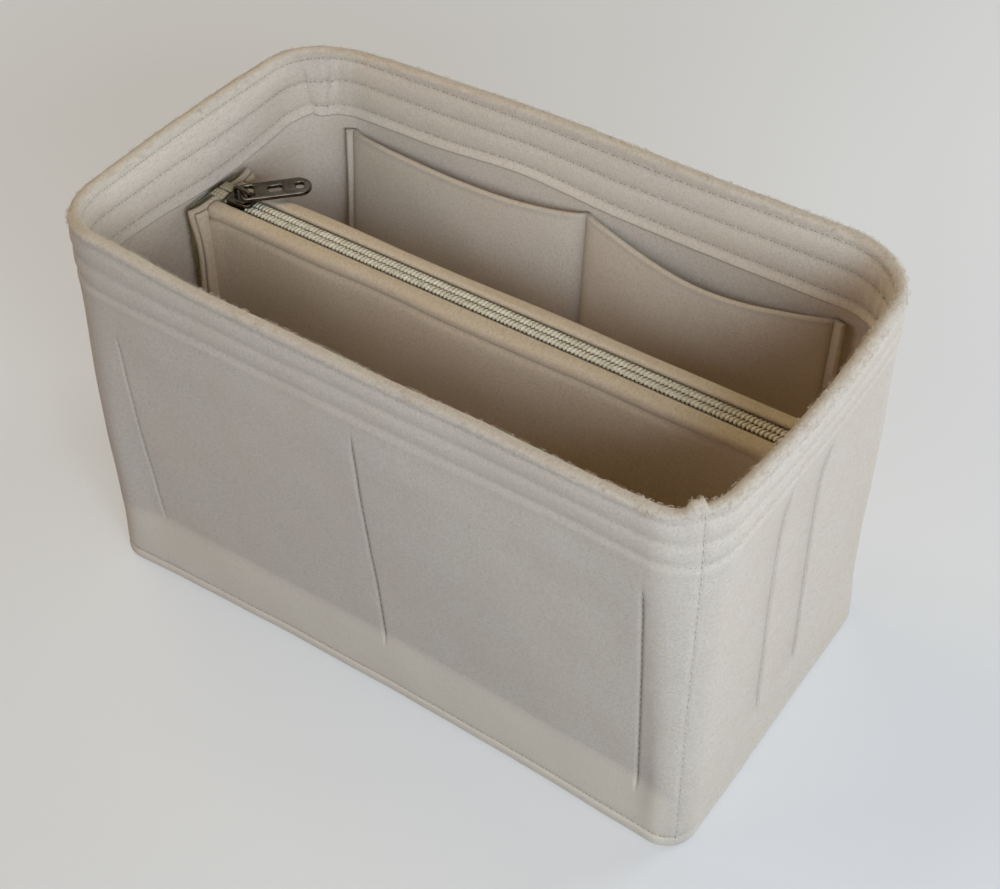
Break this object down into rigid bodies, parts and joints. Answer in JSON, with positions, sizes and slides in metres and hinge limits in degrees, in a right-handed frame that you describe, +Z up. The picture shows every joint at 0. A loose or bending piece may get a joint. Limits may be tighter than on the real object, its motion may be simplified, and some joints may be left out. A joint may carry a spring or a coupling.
{
  "type": "purse organizer insert",
  "caption": "Open felt bag liner with a folded hem, sewn-in open pockets along both long walls, and a zipped felt pouch held between its end walls by hook-and-loop strips.",
  "frame": {"origin": "middle of the underside, on the surface that the organizer stands on", "axes": "+X along the length towards the right end wall, +Y towards the back wall, +Z up"},
  "size_m": [0.265, 0.1508, 0.165],
  "materials": {
    "wall_felt": "pressed felt, beige, fine fuzz",
    "inner_felt": "pressed felt, beige, fine fuzz",
    "strip_pile": "hook-and-loop pile, olive beige",
    "zip_tape": "woven polyester tape, olive beige",
    "zip_coil": "nylon coil, satin, olive beige",
    "black_nickel": "black nickel plating on cast zinc, polished"
  },
  "bodies": {
    "shell": {"outer_wall": "wall_felt", "base_panel": "inner_felt", "front_pocket_panel": "inner_felt", "back_pocket_panel": "inner_felt", "loop_strip_left": "strip_pile", "loop_strip_right": "strip_pile"},
    "pouch": {"pouch_front_panel": "inner_felt", "pouch_back_panel": "inner_felt", "pouch_end_left": "inner_felt", "pouch_end_right": "inner_felt", "hook_strip_left": "strip_pile", "hook_strip_right": "strip_pile", "zip_tape_front": "zip_tape", "zip_tape_back": "zip_tape", "zip_coil_front": "zip_coil", "zip_coil_back": "zip_coil"},
    "slider": {"slider_body": "black_nickel"},
    "pull": {"pull_tab": "black_nickel"}
  },
  "joints": [
    {"name": "pouch_lift", "type": "slide", "parent": "shell", "child": "pouch", "axis": [0, 0, 1], "range_m": [0, 0.14]},
    {"name": "zip_slide", "type": "slide", "parent": "pouch", "child": "slider", "axis": [1, 0, 0], "range_m": [0, 0.2092]},
    {"name": "pull_swing", "type": "hinge", "parent": "slider", "child": "pull", "pos_m": [-0.111, 0.0065, 0.13437], "axis": [0.766, -0.6428, 0], "range_deg": [0, 110]}
  ]
}
